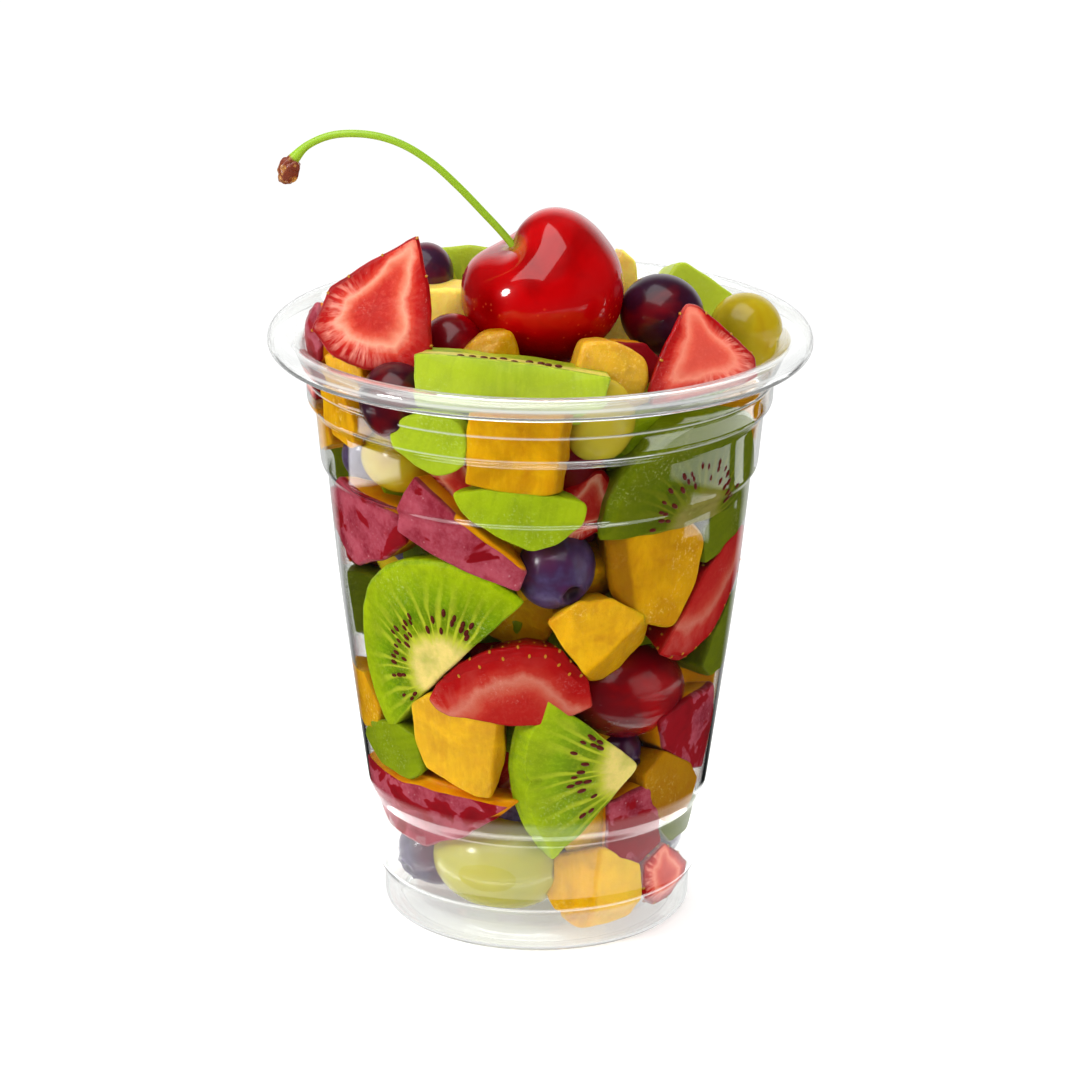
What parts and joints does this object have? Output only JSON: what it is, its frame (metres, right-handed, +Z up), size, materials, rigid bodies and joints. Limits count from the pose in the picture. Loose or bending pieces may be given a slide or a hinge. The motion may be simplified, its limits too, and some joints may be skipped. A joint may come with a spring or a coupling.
{
  "type": "fruit cup",
  "caption": "Clear plastic cup with a curled lip, filled with cut kiwi, mango, nectarine, strawberry, grapes and blueberries and topped with a whole cherry on its stem.",
  "frame": {"origin": "centre of the cup's foot on the surface it stands on", "axes": "+Z up along the cup's axis, -Y the front of the cup, +X to the right"},
  "size_m": [0.098, 0.098, 0.148],
  "materials": {
    "clear_plastic": "clear thermoformed plastic, glossy",
    "mixed_fruit": "wet cut fruit of mixed colours",
    "cherry_skin": "smooth glossy dark red skin",
    "green_stem": "smooth green stem with a brown woody end",
    "strawberry": "wet cut flesh with pale veins, red seeded skin",
    "black_grape": "glossy near-black skin with a faint bloom",
    "green_grape": "translucent yellow-green skin",
    "red_grape": "glossy wine-red skin",
    "blueberry": "dark blue skin with a dusty bloom",
    "kiwi": "wet green flesh, cream core, black seeds",
    "mango": "wet golden fibrous flesh",
    "nectarine": "speckled wine-red skin over orange flesh"
  },
  "bodies": {
    "root": {"cup": "clear_plastic", "fruit_heap": "mixed_fruit", "cherry": "cherry_skin", "cherry_stem": "green_stem", "strawberry_left": "strawberry", "strawberry_right": "strawberry", "strawberry_back": "strawberry", "black_grape": "black_grape", "black_grape_back": "black_grape", "black_grape_left": "black_grape", "green_grape_right": "green_grape", "green_grape_front": "green_grape", "green_grape_back": "green_grape", "red_grape": "red_grape", "red_grape_back": "red_grape", "blueberry_back": "blueberry", "kiwi_front": "kiwi", "kiwi_middle": "kiwi", "kiwi_back_left": "kiwi", "kiwi_back_right": "kiwi", "mango_front_left": "mango", "mango_front_right": "mango", "mango_left": "mango", "mango_right": "mango", "mango_upright": "mango", "mango_back_left": "mango", "mango_back_right": "mango", "nectarine_left": "nectarine", "nectarine_right": "nectarine", "nectarine_back": "nectarine"}
  },
  "joints": []
}
